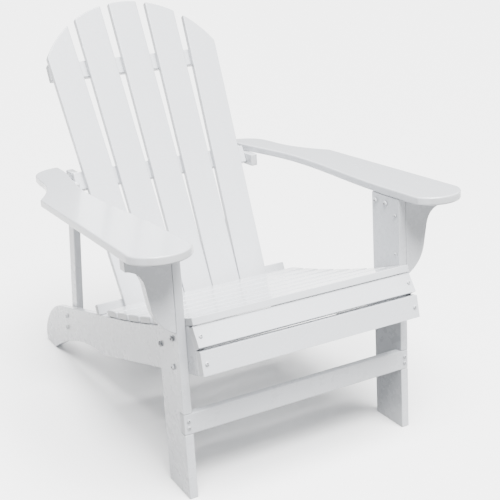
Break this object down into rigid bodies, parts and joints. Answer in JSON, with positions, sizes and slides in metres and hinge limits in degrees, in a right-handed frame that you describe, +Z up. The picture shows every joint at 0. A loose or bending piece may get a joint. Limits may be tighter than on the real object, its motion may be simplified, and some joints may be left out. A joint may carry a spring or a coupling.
{
  "type": "adirondack chair",
  "caption": "Painted wooden garden chair with a sloping slatted seat, a fanned and arched slatted back, broad shaped arms on brackets and long rear feet.",
  "frame": {"origin": "on the ground under the middle of the chair's overall box", "axes": "+X to the viewer's right when facing the chair from the front; +Y towards its back; +Z up"},
  "size_m": [0.741, 1.068, 0.9159],
  "materials": {
    "painted_frame_boards": "glossy white paint on planed boards with eased edges",
    "painted_seat_boards": "glossy white paint on planed boards with eased edges",
    "painted_back_boards": "glossy white paint on planed boards with eased edges",
    "painted_arm_boards": "glossy white paint on planed boards with eased edges",
    "painted_fasteners": "white-painted button-head bolts and screws with a hexagon socket"
  },
  "bodies": {
    "root": {"left_front_leg": "painted_frame_boards", "left_stringer": "painted_frame_boards", "left_arm": "painted_arm_boards", "left_arm_bracket": "painted_frame_boards", "left_front_arm_cleat": "painted_frame_boards", "left_rear_arm_cleat": "painted_frame_boards", "left_rear_strut": "painted_frame_boards", "right_front_leg": "painted_frame_boards", "right_stringer": "painted_frame_boards", "right_arm": "painted_arm_boards", "right_arm_bracket": "painted_frame_boards", "right_front_arm_cleat": "painted_frame_boards", "right_rear_arm_cleat": "painted_frame_boards", "right_rear_strut": "painted_frame_boards", "front_stretcher": "painted_frame_boards", "front_upper_board": "painted_frame_boards", "front_apron": "painted_frame_boards", "lower_back_rail": "painted_frame_boards", "middle_back_rail": "painted_frame_boards", "upper_back_brace": "painted_frame_boards", "seat_slat_1": "painted_seat_boards", "seat_slat_2": "painted_seat_boards", "seat_slat_3": "painted_seat_boards", "seat_slat_4": "painted_seat_boards", "seat_slat_5": "painted_seat_boards", "seat_slat_6": "painted_seat_boards", "seat_slat_7": "painted_seat_boards", "back_slat_1": "painted_back_boards", "back_slat_2": "painted_back_boards", "back_slat_3": "painted_back_boards", "back_slat_4": "painted_back_boards", "back_slat_5": "painted_back_boards", "left_leg_bolt_1": "painted_fasteners", "left_leg_bolt_2": "painted_fasteners", "left_leg_bolt_3": "painted_fasteners", "left_strut_bolt_1": "painted_fasteners", "left_strut_bolt_2": "painted_fasteners", "left_cleat_bolt_1": "painted_fasteners", "left_cleat_bolt_2": "painted_fasteners", "left_bracket_screw_1": "painted_fasteners", "left_bracket_screw_2": "painted_fasteners", "left_stretcher_screw_1": "painted_fasteners", "left_stretcher_screw_2": "painted_fasteners", "left_front_upper_board_screw": "painted_fasteners", "left_front_apron_screw": "painted_fasteners", "right_leg_bolt_1": "painted_fasteners", "right_leg_bolt_2": "painted_fasteners", "right_leg_bolt_3": "painted_fasteners", "right_strut_bolt_1": "painted_fasteners", "right_strut_bolt_2": "painted_fasteners", "right_cleat_bolt_1": "painted_fasteners", "right_cleat_bolt_2": "painted_fasteners", "right_bracket_screw_1": "painted_fasteners", "right_bracket_screw_2": "painted_fasteners", "right_stretcher_screw_1": "painted_fasteners", "right_stretcher_screw_2": "painted_fasteners", "right_front_upper_board_screw": "painted_fasteners", "right_front_apron_screw": "painted_fasteners"}
  },
  "joints": []
}
